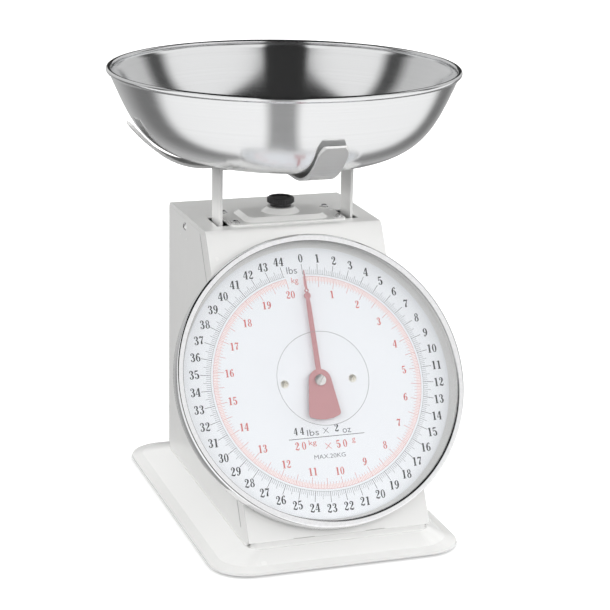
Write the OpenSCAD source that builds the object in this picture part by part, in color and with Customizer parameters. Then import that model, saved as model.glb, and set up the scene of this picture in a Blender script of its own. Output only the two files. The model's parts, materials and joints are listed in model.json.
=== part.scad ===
// Mechanical dial platform scale with a lift-off bowl. Front faces -Y, up is +Z, millimetres.
// The origin is on the table at the centre of the whole outline.

/* [Casing] */
// Height of the casing top above the table
case_top = 219; // [214:1:224]
// Width of the casing across the side panels
case_w = 136.6; // [134:0.2:140]
// Y of the lower front edge of the casing
case_front = -130.6; // [-131:0.2:-129]
// Y of the lower back edge of the casing
case_back = 90; // [88:1:92]
// Lean of the dial face back from vertical, in degrees
tilt = 30; // [29:0.5:31]
// Thickness of the casing sheet
sheet = 1; // [0.8:0.1:1.2]
// Bend radius at the top edges of the casing
bend_r = 5; // [4.5:0.5:7]

/* [Base] */
// Width of the base pan at its lower edge
base_w = 188; // [180:1:194]
// Y of the front lower edge of the base pan
base_front = -144; // [-150:1:-143]
// Y of the back lower edge of the base pan
base_back = 135; // [128:1:140]
// Corner radius of the base pan at its lower edge
base_corner = 28; // [24:1:34]
// Width of the flat lip round the base pan
lip_in = 8; // [6:0.5:10]
// Height of the lower edge of the pan above the table
foot_gap = 2; // [1:0.5:4]
// Thickness of the pressed base sheet
base_t = 1.4; // [1.2:0.1:1.6]

/* [Dial] */
// Distance from the lower front edge of the casing up the face to the dial centre
dial_up = 111.1; // [110:0.1:113]
// Radius of the dial plate
dial_r = 100.6; // [98:0.2:101]
// Outer radius of the bezel ring
bezel_r = 108.3; // [108:0.1:110]
// Depth of the dial drum in front of the casing
drum_h = 11; // [10.5:0.5:12]

/* [Bowl] */
// Radius of the rolled rim of the bowl
bowl_r = 131; // [125:1:137]
// Depth of the bowl from rim to floor
bowl_depth = 67; // [60:1:75]
// Thickness of the bowl sheet
bowl_t = 1.2; // [1:0.1:1.5]

/* [Cradle] */
// Height of the underside of the bowl floor above the table
bowl_floor = 264.7; // [263:0.1:268]
// Distance of each post from the middle of the scale
post_x = 51; // [50.6:0.1:52]
// Depth of the flat posts and width of the cradle arms
strap_w = 22; // [20:0.5:24]
// Thickness of the posts and arms
strap_t = 2; // [1.8:0.1:2.2]

/* [Zero knob] */
// Radius of the knurled zero knob
knob_r = 10.3; // [9:0.1:11.5]
// Height of the knob head
knob_h = 5.2; // [4.5:0.1:6]
// Number of grip flutes round the knob
knob_flutes = 30; // [20:2:36]

/* [Movement] */
// Gear module of the rack and pinion
gear_m = 0.5; // [0.5:0.1:0.5]
// Teeth on the pinion
pinion_n = 12; // [12:1:12]
// Mean coil radius of the two load springs
coil_r = 9; // [8:0.5:10]
// Wire radius of the load springs
wire_r = 1.2; // [1:0.1:1.3]
// Coils in each load spring
coil_n = 15; // [13:1:16]

/* [Hidden] */
$fn = 48;
axis_y = 13;
plateau_z = foot_gap + 18.8;
side_low = plateau_z - 4.3;
half_w = case_w / 2;
face_y = case_front + dial_up * sin(tilt);
face_z = plateau_z + dial_up * cos(tilt);
top_front = case_front + (case_top - plateau_z) * tan(tilt);
top_back = case_back - 3;
lip_w = 3.2;
knob_y = axis_y + 5;
cover_t = 1.2;
emboss = 3;
emboss_top = case_top + cover_t + emboss;
boss_top = emboss_top + 3.6;
knob_z = boss_top + 0.3;
arm_z = bowl_floor - 0.5 - strap_t;
plate_z = arm_z - strap_t;
post_low = 48;
bar_z = 62;
hook_x = 28;
low_pin_z = bar_z + 12;
hanger_z = 196;
high_pin_z = hanger_z - 6;
bar_screw_y = [knob_y - 6, knob_y + 2];
frame_in = 61;
frame_t = 2;
link_y = 70;
link_len = link_y - axis_y;
half_rise = 7.935;
upper_pin_z = 190;
lower_pin_z = 56;
link_x = post_x + strap_t / 2 + 3;
link_t = 2;
link_a = atan(half_rise / link_len);
pin_r = 2.5;
plate_front = -8;
plate_rear = -22;
pitch_r = gear_m * pinion_n / 2;
rack_pitch = PI * gear_m;
rack_pin_up = 60;
face_screw_x = 26;
cover_sx = 40.5;
cover_sy = 16.6;
foot_x = 52;
side_screw_y = axis_y + 27;
side_screw_z = case_top - 8.8;

// ---- shared shapes ----

function unit(v) = v / norm(v);
function at(p, i) = p[(i + len(p)) % len(p)];
function bisect_in(a, p, b) =
    let (ua = unit(p - a), ub = unit(b - p), na = [-ua[1], ua[0]], nb = [-ub[1], ub[0]])
    (na + nb) / (1 + na * nb);
function inset(p, d) = [for (i = [0 : len(p) - 1]) p[i] + d * bisect_in(at(p, i - 1), p[i], at(p, i + 1))];
function half_angle_in(p, i) =
    acos(unit(at(p, i - 1) - p[i]) * unit(at(p, i + 1) - p[i])) / 2;
function cut_len(p, r, i) = r / tan(half_angle_in(p, i));
function round_center(p, r, i) =
    let (ua = unit(at(p, i - 1) - p[i]), ub = unit(at(p, i + 1) - p[i]))
    p[i] + unit(ua + ub) * r / sin(half_angle_in(p, i));
function turn(v, a) = [v[0] * cos(a) - v[1] * sin(a), v[0] * sin(a) + v[1] * cos(a)];
function arc_points(p, r, i) =
    let (c = round_center(p, r, i),
         start = p[i] + unit(at(p, i - 1) - p[i]) * cut_len(p, r, i) - c,
         sweep = 180 - 2 * half_angle_in(p, i))
    [for (k = [0 : 8]) c + turn(start, sweep * k / 8)];
function bez(p, t) = pow(1 - t, 3) * p[0] + 3 * pow(1 - t, 2) * t * p[1]
    + 3 * (1 - t) * t * t * p[2] + pow(t, 3) * p[3];
function bez_dir(p, t) = unit(pow(1 - t, 2) * (p[1] - p[0]) + 2 * (1 - t) * t * (p[2] - p[1])
    + t * t * (p[3] - p[2]));
function bez_side(p, t, d) = let (u = bez_dir(p, t)) bez(p, t) + d * [-u[1], u[0]];

// outline with rounded convex corners; points run anticlockwise
module round_poly(p, rs) {
    polygon([for (i = [0 : len(p) - 1]) each rs[i] > 0 ? arc_points(p, rs[i], i) : [p[i]]]);
}

module rrect(x0, x1, y0, y1, r) {
    translate([x0 + r, y0]) square([x1 - x0 - 2 * r, y1 - y0]);
    translate([x0, y0 + r]) square([x1 - x0, y1 - y0 - 2 * r]);
    for (x = [x0 + r, x1 - r])
        for (y = [y0 + r, y1 - r]) translate([x, y]) circle(r);
}

module across(x0, x1) {
    translate([x0, 0, 0]) rotate([90, 0, 90]) linear_extrude(x1 - x0) children();
}

module on_face(h = 0) {
    translate([0, face_y, face_z]) rotate([90 - tilt, 0, 0]) translate([0, 0, h]) children();
}

module rod_x(x0, x1, y, z, r) {
    translate([x0, y, z]) rotate([0, 90, 0]) cylinder(r = r, h = x1 - x0);
}

module rod_y(x, y0, y1, z, r) {
    translate([x, y0, z]) rotate([-90, 0, 0]) cylinder(r = r, h = y1 - y0);
}

// screw with a domed cross-slot head; the head sits at z = 0 upwards
module pan_screw(head_r, head_h, shank_r, length) {
    dome = (head_r * head_r + head_h * head_h) / (2 * head_h);
    difference() {
        union() {
            intersection() {
                translate([0, 0, head_h - dome]) sphere(dome);
                cylinder(r = head_r, h = head_h);
            }
            translate([0, 0, -length]) cylinder(r = shank_r, h = length + 0.01);
        }
        for (a = [0, 90])
            rotate([0, 0, a])
                translate([-head_r * 0.55, -head_r * 0.1, head_h * 0.35])
                    cube([head_r * 1.1, head_r * 0.2, head_h]);
    }
}

// ---- base ----

module pan_level(grow, z, inset, r) {
    translate([0, 0, z]) linear_extrude(0.02)
        rrect(inset - base_w / 2 - grow, base_w / 2 - inset + grow, base_front + inset - grow,
              base_back - inset + grow, r);
}

module pan_plateau(grow, z) {
    translate([0, 0, z]) linear_extrude(0.02)
        rrect(-half_w - 1.2 - grow, half_w + 1.2 + grow, case_front - 2.4 - grow,
              case_back + 3 + grow, 12);
}

module pan_body(g, drop) {
    hull() {
        pan_level(g, foot_gap - (drop > 0 ? 3 : 0), 0, base_corner);
        pan_level(g, foot_gap + 1.4 - drop, 0.4, base_corner);
    }
    hull() {
        pan_level(g, foot_gap + 1.4 - drop, 0.4, base_corner);
        pan_level(g, foot_gap + 3.4 - drop, lip_in, base_corner - 5);
    }
    hull() {
        pan_level(g, foot_gap + 3.4 - drop, lip_in, base_corner - 5);
        pan_plateau(g, side_low - drop);
    }
}

module base_plate() {
    color([0.93, 0.93, 0.92])
    difference() {
        union() {
            pan_body(0, 0);
            translate([0, 0, side_low - 1])
                linear_extrude(plateau_z - side_low + 1)
                    rrect(-half_w + 2.3, half_w - 2.3, case_front - 0.6, case_back - 0.4, 5);
        }
        pan_body(-base_t, base_t);
        translate([0, 0, side_low - base_t - 2])
            linear_extrude(plateau_z - side_low + 2)
                rrect(-half_w + 3.7, half_w - 3.7, case_front + 0.8, case_back - 1.8, 4);
        for (x = [-foot_x, foot_x])
            for (y = [case_front + 24, case_back - 14])
                translate([x, y, foot_gap]) cylinder(r = 2.2, h = 30);
        for (x = [-frame_in + 5, frame_in - 5])
            for (y = [-40, 56]) translate([x, y, foot_gap]) cylinder(r = 1.7, h = 30);
    }
}

module rubber_feet() {
    color([0.12, 0.12, 0.12])
    for (x = [-foot_x, foot_x])
        for (y = [case_front + 24, case_back - 14])
            translate([x, y, 0])
                difference() {
                    union() {
                        cylinder(r1 = 8, r2 = 9, h = 1.5);
                        translate([0, 0, 1.5]) cylinder(r = 9, h = plateau_z - base_t - 1.5);
                    }
                    translate([0, 0, 8]) cylinder(r = 2.1, h = 20);
                }
}

module foot_screws() {
    color([0.7, 0.7, 0.72])
    for (x = [-foot_x, foot_x])
        for (y = [case_front + 24, case_back - 14])
            translate([x, y, plateau_z]) pan_screw(4, 2.2, 2, 11);
}

// ---- casing ----

function case_points() = [[case_front, plateau_z], [case_back, plateau_z],
                          [top_back, case_top], [top_front, case_top]];
function panel_points() = [
    [case_front - (plateau_z - side_low + 3.4) * tan(tilt), side_low - 3.4],
    [case_back, side_low - 3.4], [top_back, case_top], [top_front, case_top]];

module case_profile(d) {
    round_poly(inset(case_points(), d), [0, 0, bend_r - d, bend_r - d]);
}

module housing_wrap() {
    color([0.93, 0.93, 0.92])
    difference() {
        across(-half_w, half_w) case_profile(0);
        across(-half_w + sheet, half_w - sheet) case_profile(sheet);
        for (s = [0, 1])
            mirror([s, 0, 0])
                across(half_w - sheet - 0.2, half_w + 1)
                    round_poly(inset(panel_points(), lip_w), [4, 2, 2, 2]);
        translate([-half_w - 1, case_front + 14, plateau_z - 1])
            cube([case_w + 2, case_back - case_front - 23, 3]);
        for (s = [-1, 1]) {
            translate([s * (post_x - 0.8) - 5, axis_y - strap_w / 2 - 4, case_top - 3])
                cube([10, strap_w + 8, 6]);
            for (y = [knob_y - cover_sy, knob_y + cover_sy])
                translate([s * cover_sx, y, case_top - 3]) cylinder(r = 1.9, h = 6);
            on_face(-3) translate([s * face_screw_x, 0, 0]) cylinder(r = 1.7, h = 6);
            translate([s * foot_x, case_front + 24, plateau_z - 1]) cylinder(r = 6, h = 4);
        }
        translate([0, knob_y, case_top - 3]) cylinder(r = 8, h = 6);
        on_face(-3) cylinder(r = 8, h = 6);
        translate([-35.7, case_front - 1, plateau_z - 0.1]) cube([16.2, 2, 0.6]);
        translate([19, case_front - 1, plateau_z - 0.1]) cube([14.6, 2, 0.5]);
    }
}

module side_panel(s) {
    mirror([s < 0 ? 1 : 0, 0, 0])
    difference() {
        union() {
            across(half_w - 1.3 * sheet, half_w)
                round_poly(inset(panel_points(), 3.4), [4, 2, 2, 2]);
            across(half_w - 2.1 * sheet, half_w - 1.05 * sheet)
                intersection() {
                    round_poly(inset(panel_points(), 1.4), [0, 0, 3.4, 3.4]);
                    translate([case_front - 10, plateau_z + sheet + 0.3])
                        square([case_back - case_front + 20, case_top]);
                }
        }
        rod_x(half_w - 5, half_w + 1, side_screw_y, side_screw_z, 1.9);
        for (k = [0, 1])
            rod_x(half_w - 0.5, half_w + 1, side_screw_y + 13.5 - k * 16.5, side_screw_z - 9.4, 0.5);
    }
}

module left_side_panel() {
    color([0.93, 0.93, 0.92]) side_panel(-1);
}

module right_side_panel() {
    color([0.93, 0.93, 0.92]) side_panel(1);
}

module side_panel_screws() {
    color([0.75, 0.75, 0.77])
    for (s = [0, 1])
        mirror([s, 0, 0])
            translate([half_w, side_screw_y, side_screw_z]) rotate([0, 90, 0])
                pan_screw(3.4, 1.6, 1.8, half_w - frame_in);
}

module cover_level(z, x, y, r) {
    translate([0, knob_y, z]) linear_extrude(0.02) rrect(-x, x, -y, y, r);
}

module cover_emboss(d, z0, z1) {
    hull() {
        cover_level(z0, 33 - d, 20.5 - d, 8 - d);
        cover_level(z1 - 0.02, 29.2 - d, 16.7 - d, 6 - d);
    }
}

module top_cover_plate() {
    color([0.93, 0.93, 0.92])
    difference() {
        union() {
            translate([0, knob_y, case_top])
                linear_extrude(cover_t) rrect(-44.6, 44.6, -24.3, 24.3, 4);
            cover_emboss(0, case_top + cover_t - 0.1, emboss_top);
        }
        cover_emboss(1.3, case_top - 0.1, emboss_top - cover_t);
        translate([0, knob_y, case_top - 1]) cylinder(r = 5, h = 12);
        for (s = [-1, 1]) {
            for (y = [-cover_sy, cover_sy])
                translate([s * cover_sx, knob_y + y, case_top - 1]) cylinder(r = 1.9, h = 6);
            translate([s * 15, knob_y, emboss_top + 0.35]) sphere(1);
        }
    }
}

module top_cover_screws() {
    color([0.75, 0.75, 0.77])
    for (s = [-1, 1])
        for (y = [-cover_sy, cover_sy])
            translate([s * cover_sx, knob_y + y, case_top + cover_t])
                rotate([0, 0, 20 * s + y]) pan_screw(3.7, 2, 1.8, 7);
}

module knob_boss() {
    color([0.93, 0.93, 0.92])
    translate([0, knob_y, emboss_top])
        difference() {
            union() {
                cylinder(r1 = 14.4, r2 = 10.4, h = boss_top - emboss_top);
                translate([0, 0, -3]) cylinder(r = 4.9, h = 3.1);
            }
            translate([0, 0, -4]) cylinder(r = 3.08, h = 10);
        }
}

// ---- dial group ----

module ring(r1, r0, h) {
    difference() {
        cylinder(r = r1, h = h, $fn = 96);
        translate([0, 0, -1]) cylinder(r = r0, h = h + 2, $fn = 96);
    }
}

module dial_drum() {
    color([0.93, 0.93, 0.92])
    on_face(0)
    difference() {
        union() {
            cylinder(r = bezel_r - 1.1, h = 1, $fn = 96);
            ring(bezel_r - 1.1, bezel_r - 2.1, drum_h);
        }
        translate([0, 0, -1]) cylinder(r = 8, h = 3);
        for (s = [-1, 1]) translate([s * face_screw_x, 0, -1]) cylinder(r = 1.7, h = 3);
    }
}

module dial_plate() {
    color([0.96, 0.97, 0.98])
    on_face(1)
    difference() {
        cylinder(r = dial_r, h = 1, $fn = 96);
        translate([0, 0, -1]) cylinder(r = 5, h = 3);
        for (s = [-1, 1]) translate([s * face_screw_x, 0, -1]) cylinder(r = 1.7, h = 3);
    }
}

module dial_screws() {
    color([0.8, 0.7, 0.45])
    on_face(2)
    for (s = [-1, 1]) translate([s * face_screw_x, 0, 0]) pan_screw(2.9, 1.4, 1.6, 12.5);
}

module bezel_ring() {
    color([0.85, 0.86, 0.88])
    on_face(0)
    rotate_extrude($fn = 96)
    difference() {
        union() {
            translate([bezel_r - 0.9, drum_h - 9]) square([0.9, 9.3]);
            translate([bezel_r - 4.9, drum_h + 1.6]) square([3.6, 1]);
            translate([bezel_r - 1.3, drum_h + 0.3]) square([1.3, 1.2]);
            translate([bezel_r - 1.3, drum_h + 1.3]) circle(1.3);
            translate([bezel_r - 4.9, drum_h + 2.1]) circle(0.5);
        }
        translate([bezel_r - 6, drum_h - 0.1]) square([4.7, 1.7]);
    }
}

module lens() {
    color([0.85, 0.92, 0.95, 0.3])
    on_face(drum_h + 0.6)
    union() {
        cylinder(r = bezel_r - 1.6, h = 1, $fn = 96);
        translate([0, 0, 1])
            difference() {
                cylinder(r1 = bezel_r - 5.9, r2 = bezel_r - 8.9, h = 0.9, $fn = 96);
                translate([0, 0, -1]) cylinder(r = bezel_r - 11.4, h = 3, $fn = 96);
            }
        translate([0, 0, 0.9])
            difference() {
                cylinder(r = 35, h = 0.6);
                translate([0, 0, -1]) cylinder(r = 34.2, h = 3);
            }
    }
}

module lens_gasket() {
    color([0.85, 0.85, 0.85])
    on_face(drum_h + 0.05) ring(bezel_r - 1.7, bezel_r - 3.9, 0.5);
}

// ---- inner frame ----

module frame_plate(s) {
    rod_y0 = link_y;
    mirror([s < 0 ? 1 : 0, 0, 0])
    difference() {
        union() {
            across(frame_in, frame_in + frame_t)
                round_poly([[-70, plateau_z], [79, plateau_z], [78, case_top - 2.5],
                            [axis_y - 16, case_top - 2.5], [axis_y - 16, 160], [-70, 62]],
                           [0, 0, 4, 4, 0, 4]);
            translate([frame_in - 12, -60, plateau_z]) cube([13, 130, 2]);
            translate([frame_in - 6.4, knob_y - 16, hanger_z + 8]) cube([7.4, 32, 2]);
        }
        for (z = [upper_pin_z - half_rise, lower_pin_z - half_rise])
            rod_x(frame_in - 1, frame_in + 3, rod_y0, z, pin_r);
        rod_x(frame_in - 1, frame_in + 3, side_screw_y, side_screw_z, 1.9);
        rod_x(frame_in - 1, frame_in + 3, 30, 110, 16);
        rod_x(frame_in - 1, frame_in + 3, -20, 75, 12);
        for (y = [-40, 56]) translate([frame_in - 5, y, plateau_z - 1]) cylinder(r = 1.7, h = 5);
        for (y = [-8, 8])
            translate([frame_in - 3, knob_y + y, hanger_z + 7]) cylinder(r = 1.7, h = 5);
    }
}

module left_frame_plate() {
    color([0.6, 0.62, 0.65]) frame_plate(-1);
}

module right_frame_plate() {
    color([0.6, 0.62, 0.65]) frame_plate(1);
}

module frame_screws() {
    color([0.7, 0.7, 0.72])
    for (x = [-frame_in + 5, frame_in - 5]) {
        for (y = [-40, 56]) translate([x, y, plateau_z + 2]) pan_screw(3.2, 1.8, 1.6, 6);
        for (y = [-8, 8])
            translate([x + 2 * sign(x), knob_y + y, hanger_z + 12]) pan_screw(2.6, 1.6, 1.6, 6);
    }
}

module top_bridge() {
    color([0.6, 0.62, 0.65])
    difference() {
        translate([0, knob_y, hanger_z + 10])
            linear_extrude(2) rrect(-frame_in + 0.3, frame_in - 0.3, -15.5, 15.5, 3);
        translate([0, knob_y, hanger_z + 9]) cylinder(r = 4.5, h = 4);
        for (s = [-1, 1]) {
            translate([s * post_x - 3.5, axis_y - strap_w / 2 - 3, hanger_z + 9])
                cube([7, strap_w + 4, 4]);
            translate([s * 14, knob_y, hanger_z + 9]) cylinder(r = 2.08, h = 4);
            for (y = [-8, 8])
                translate([s * (frame_in - 3), knob_y + y, hanger_z + 9]) cylinder(r = 1.7, h = 4);
        }
    }
}

module link_rods() {
    color([0.7, 0.7, 0.72])
    for (z = [upper_pin_z - half_rise, lower_pin_z - half_rise])
        rod_x(-frame_in - frame_t, frame_in + frame_t, link_y, z, pin_r - 0.02);
}

// ---- movement on the back of the dial face ----

module movement_plate(z0) {
    on_face(z0)
    difference() {
        linear_extrude(2) rrect(-34, 34, -30, 30, 5);
        translate([0, 0, -1]) cylinder(r = 3.5, h = 4);
        for (s = [-1, 1]) {
            translate([s * face_screw_x, 0, -1]) cylinder(r = 1.65, h = 4);
            for (y = [-23, 23]) translate([s * 27, y, -1]) cylinder(r = 2, h = 4);
        }
    }
}

module movement_front_plate() {
    color([0.82, 0.7, 0.4]) movement_plate(plate_front);
}

module movement_rear_plate() {
    color([0.82, 0.7, 0.4]) movement_plate(plate_rear);
}

module movement_pillars() {
    color([0.7, 0.7, 0.72])
    on_face(0) {
        for (s = [-1, 1]) {
            for (y = [-23, 23])
                translate([s * 27, y, plate_rear - 1]) {
                    cylinder(r = 1.98, h = 18);
                    translate([0, 0, 3]) cylinder(r = 3.2, h = plate_front - plate_rear - 2);
                }
            translate([s * face_screw_x, 0, plate_front + 2])
                difference() {
                    cylinder(r = 3.2, h = -plate_front - 2 - sheet);
                    translate([0, 0, -1]) cylinder(r = 1.65, h = 20);
                }
        }
    }
}

module bush(z0) {
    on_face(z0)
    difference() {
        cylinder(r = 3.48, h = 2);
        translate([0, 0, -1]) cylinder(r = 1.55, h = 4);
    }
}

module front_bush() {
    color([0.8, 0.65, 0.3]) bush(plate_front);
}

module rear_bush() {
    color([0.8, 0.65, 0.3]) bush(plate_rear);
}

module rack_guide() {
    color([0.82, 0.7, 0.4])
    on_face(plate_rear + 2)
    linear_extrude(plate_front - plate_rear - 2.4) rrect(8.35, 15, -13, 13, 1.5);
}

module rack_profile() {
    difference() {
        translate([pitch_r - 0.35, -8]) square([8 - pitch_r + 0.35, rack_pin_up + 12]);
        for (k = [-4 : 14])
            translate([0, k * rack_pitch])
                polygon([[pitch_r - 1, -0.75], [pitch_r - 0.35, -0.62], [pitch_r + 0.75, -0.3],
                         [pitch_r + 0.75, 0.3], [pitch_r - 0.35, 0.62], [pitch_r - 1, 0.75]]);
        translate([pitch_r - 1, 14.6 * rack_pitch]) square([1.6, 60]);
    }
}

module rack_bar() {
    color([0.82, 0.7, 0.4])
    on_face(-17)
    difference() {
        linear_extrude(4) rack_profile();
        translate([0, rack_pin_up, 2]) rotate([0, 90, 0]) cylinder(r = 1.2, h = 12);
    }
}

module rack_pin() {
    color([0.7, 0.7, 0.72])
    on_face(-15) translate([pitch_r + 0.6, rack_pin_up, 0]) rotate([0, 90, 0])
        cylinder(r = 1.2, h = 9.5);
}

function tooth(i) = [for (q = [[2.42, -9], [2.42, -14.5], [2.95, -5.6], [3.32, -3.2],
                                [3.32, 3.2], [2.95, 5.6], [2.42, 14.5], [2.42, 9]])
    let (a = i * 360 / pinion_n + q[1]) [q[0] * cos(a), q[0] * sin(a)]];
function tooth_run(i) = [for (k = [1 : 6]) tooth(i)[k]];

module pinion() {
    color([0.82, 0.7, 0.4])
    on_face(-17.5)
    difference() {
        linear_extrude(5) polygon([for (i = [0 : pinion_n - 1]) each tooth_run(i)]);
        translate([0, 0, -1]) cylinder(r = 1.5, h = 8);
    }
}

module pinion_shaft() {
    color([0.7, 0.7, 0.72])
    on_face(plate_rear - 1) cylinder(r = 1.5, h = 7 - plate_rear);
}

module pointer() {
    color([0.72, 0.25, 0.28])
    on_face(5) {
        difference() {
            linear_extrude(0.8) {
                polygon([[-1.9, 6], [1.9, 6], [1.7, 56], [0.9, 66], [0.35, 82.6],
                         [-0.35, 82.6], [-0.9, 66], [-1.7, 56]]);
                translate([0, 63.4]) circle(2.5);
                translate([0, 67.3]) circle(1.6);
                circle(8.4);
                round_poly([[-8.4, 1], [-12.3, -26], [-6.2, -28.2], [0, -28.9], [6.2, -28.2],
                            [12.3, -26], [8.4, 1]], [0, 2.6, 0, 0, 0, 2.6, 0]);
            }
            translate([0, 67.3, -1]) cylinder(r = 0.8, h = 3);
            translate([0, 0, -1]) cylinder(r = 1.5, h = 3);
        }
        difference() {
            translate([0, 0, -1.2]) cylinder(r = 3.4, h = 1.25);
            translate([0, 0, -2]) cylinder(r = 1.5, h = 4);
        }
    }
}

module pointer_screw() {
    color([0.75, 0.75, 0.77])
    on_face(6)
    difference() {
        cylinder(r1 = 4.2, r2 = 3.8, h = 1.7);
        translate([-5, -0.4, 0.9]) cube([10, 0.8, 2]);
    }
}

// ---- zero adjustment ----

module zero_knob() {
    color([0.1, 0.1, 0.1])
    translate([0, knob_y, knob_z])
    difference() {
        union() {
            cylinder(r = 7.8, h = 2.1);
            translate([0, 0, 2]) cylinder(r1 = knob_r - 1.6, r2 = knob_r, h = 1.2);
            translate([0, 0, 3.1]) cylinder(r = knob_r, h = knob_h - 2.2);
            translate([0, 0, knob_h + 0.9]) cylinder(r1 = knob_r, r2 = knob_r - 1.4, h = 1.1);
        }
        for (i = [0 : knob_flutes - 1])
            rotate([0, 0, i * 360 / knob_flutes])
                translate([knob_r + 0.25, 0, 1.9]) cylinder(r = 0.6, h = 12, $fn = 12);
        translate([0, 0, knob_h + 0.9]) cylinder(r = knob_r - 3.2, h = 3);
        translate([0, 0, -1]) cylinder(r = 3, h = knob_h + 0.5);
        for (i = [0 : 7])
            rotate([0, 0, i * 45]) translate([7.9, 0, 0.6]) cylinder(r = 0.7, h = 1.2);
    }
}

module adjusting_screw() {
    color([0.7, 0.7, 0.72])
    translate([0, knob_y, hanger_z - 8]) cylinder(r = 3, h = knob_z + knob_h - 0.6 - hanger_z + 8);
}

module spring_hanger() {
    color([0.6, 0.62, 0.65])
    difference() {
        union() {
            translate([-36, knob_y - 7, hanger_z - 10]) cube([72, 14, 12]);
            translate([0, knob_y, hanger_z + 1.9]) cylinder(r = 6, h = 2.1);
        }
        translate([-37, knob_y - 5, hanger_z - 11]) cube([74, 10, 11]);
        translate([0, knob_y, hanger_z - 1]) cylinder(r = 3.05, h = 8);
        for (s = [-1, 1]) {
            rod_y(s * hook_x, knob_y - 8, knob_y + 8, high_pin_z, 2);
            translate([s * 14, knob_y, hanger_z - 1]) cylinder(r = 2, h = 4);
        }
    }
}

module hanger_pins() {
    color([0.7, 0.7, 0.72])
    for (s = [-1, 1]) rod_y(s * hook_x, knob_y - 8, knob_y + 8, high_pin_z, 1.98);
}

module hanger_guide_pins() {
    color([0.7, 0.7, 0.72])
    for (s = [-1, 1]) translate([s * 14, knob_y, hanger_z]) cylinder(r = 1.98, h = 18.2);
}

// path of one spring: lower hook, coils, then the same hook turned over at the top
function ring_point(a, z) = [5 * cos(a), 0, z + 5 * sin(a)];
function coil_point(a, z, rise) = [coil_r * cos(a), coil_r * sin(a), z + rise * a / 360];
function lead_in(zr, z0, rise) = concat(
    [for (a = [115 : 15 : 400]) ring_point(a, zr)],
    [for (k = [0 : 4]) bez([ring_point(412, zr), ring_point(412, zr) + [-1.5, 0, 1.3],
        [0, 0, zr + 6.2], [0, 0, zr + 7.6]], k / 4)],
    [for (k = [0 : 4]) bez([[0, 0, z0 - 2.4], [0, 0, z0 - 0.8], [0.8, 0, z0], [2.4, 0, z0]], k / 4)],
    [for (k = [0 : 4]) bez([[coil_r - 3, 0, z0], [coil_r - 0.6, 0, z0],
        coil_point(0, z0, rise) + [0.3, 0.6, 0.1], coil_point(20, z0, rise)], k / 4)]);
function turned(p, z) = [for (i = [len(p) - 1 : -1 : 0]) [p[i][0], -p[i][1], z - p[i][2]]];
function spring_path(zr, z0, zs) =
    let (rise = (zs - 2 * z0) / coil_n, first = lead_in(zr, z0, rise))
    concat(first, [for (a = [44 : 24 : coil_n * 360 - 44]) coil_point(a, z0, rise)],
        turned(first, zs));
function heading(p, i) = unit(p[min(i + 1, len(p) - 1)] - p[max(i - 1, 0)]);
function settle(n, t) = unit(n - (n * t) * t);
function normals(p) = [for (i = 0, n = settle([0, 1, 0], heading(p, 0)); i < len(p);
    n = settle(n, heading(p, min(i + 1, len(p) - 1))), i = i + 1) n];

module wire(p, r, sides) {
    ns = normals(p);
    last = len(p) - 1;
    points = [for (i = [0 : last])
        let (t = heading(p, i), n = ns[i], b = cross(t, n))
        for (j = [0 : sides - 1])
            p[i] + r * (cos(j * 360 / sides) * n + sin(j * 360 / sides) * b)];
    skin = [for (i = [0 : last - 1])
        for (j = [0 : sides - 1])
            for (k = [0, 1])
                let (a = i * sides + j, b = i * sides + (j + 1) % sides, c = a + sides, d = b + sides)
                k == 0 ? [a, c, b] : [b, c, d]];
    low = [for (j = [0 : sides - 1]) j];
    high = [for (j = [sides - 1 : -1 : 0]) last * sides + j];
    polyhedron(points, concat(skin, [low, high]), convexity = 10);
}

module load_spring(s) {
    zr = low_pin_z + 1.7;
    zs = low_pin_z + high_pin_z;
    translate([s * hook_x, knob_y, 0])
        wire(spring_path(zr, low_pin_z + 13, zs), wire_r, 6);
}

module spring_left() {
    color([0.75, 0.76, 0.78]) load_spring(-1);
}

module spring_right() {
    color([0.75, 0.76, 0.78]) load_spring(1);
}

// ---- carriage and cradle ----

module post(s) {
    mirror([s < 0 ? 1 : 0, 0, 0])
    difference() {
        union() {
            translate([post_x - strap_t / 2, axis_y - strap_w / 2, post_low])
                cube([strap_t, strap_w, arm_z - post_low]);
            translate([post_x - 20, axis_y - strap_w / 2, plate_z])
                cube([19.5, strap_w, strap_t]);
        }
        for (z = [upper_pin_z, lower_pin_z])
            rod_x(post_x - 5, post_x + 5, axis_y, z, 2);
        for (y = [-6, 6])
            translate([post_x - 11, axis_y + y, plate_z - 1]) cylinder(r = 2.05, h = 5);
        for (y = bar_screw_y) rod_x(post_x - 5, post_x + 5, y, bar_z + 6, 1.7);
    }
}

module left_post() {
    color([0.93, 0.93, 0.92]) post(-1);
}

module right_post() {
    color([0.93, 0.93, 0.92]) post(1);
}

module carriage_bar() {
    inner = post_x - strap_t / 2;
    color([0.6, 0.62, 0.65])
    difference() {
        translate([-inner, knob_y - 11, bar_z]) cube([inner * 2, 18, 18]);
        translate([-inner + 2, knob_y - 9, bar_z + 2]) cube([inner * 2 - 4, 14, 20]);
        for (s = [-1, 1]) {
            rod_y(s * hook_x, knob_y - 12, knob_y + 8, low_pin_z, 2);
            for (y = bar_screw_y) rod_x(s * (inner - 1) - 3, s * (inner - 1) + 3, y, bar_z + 6, 1.7);
        }
    }
}

module carriage_pins() {
    color([0.7, 0.7, 0.72])
    for (s = [-1, 1]) rod_y(s * hook_x, knob_y - 12, knob_y + 8, low_pin_z, 1.98);
}

module carriage_screws() {
    color([0.7, 0.7, 0.72])
    for (s = [0, 1])
        mirror([s, 0, 0])
            for (y = bar_screw_y)
                translate([post_x + strap_t / 2, y, bar_z + 6]) rotate([0, 90, 0])
                    pan_screw(2.8, 1.4, 1.65, 4.5);
}

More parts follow.
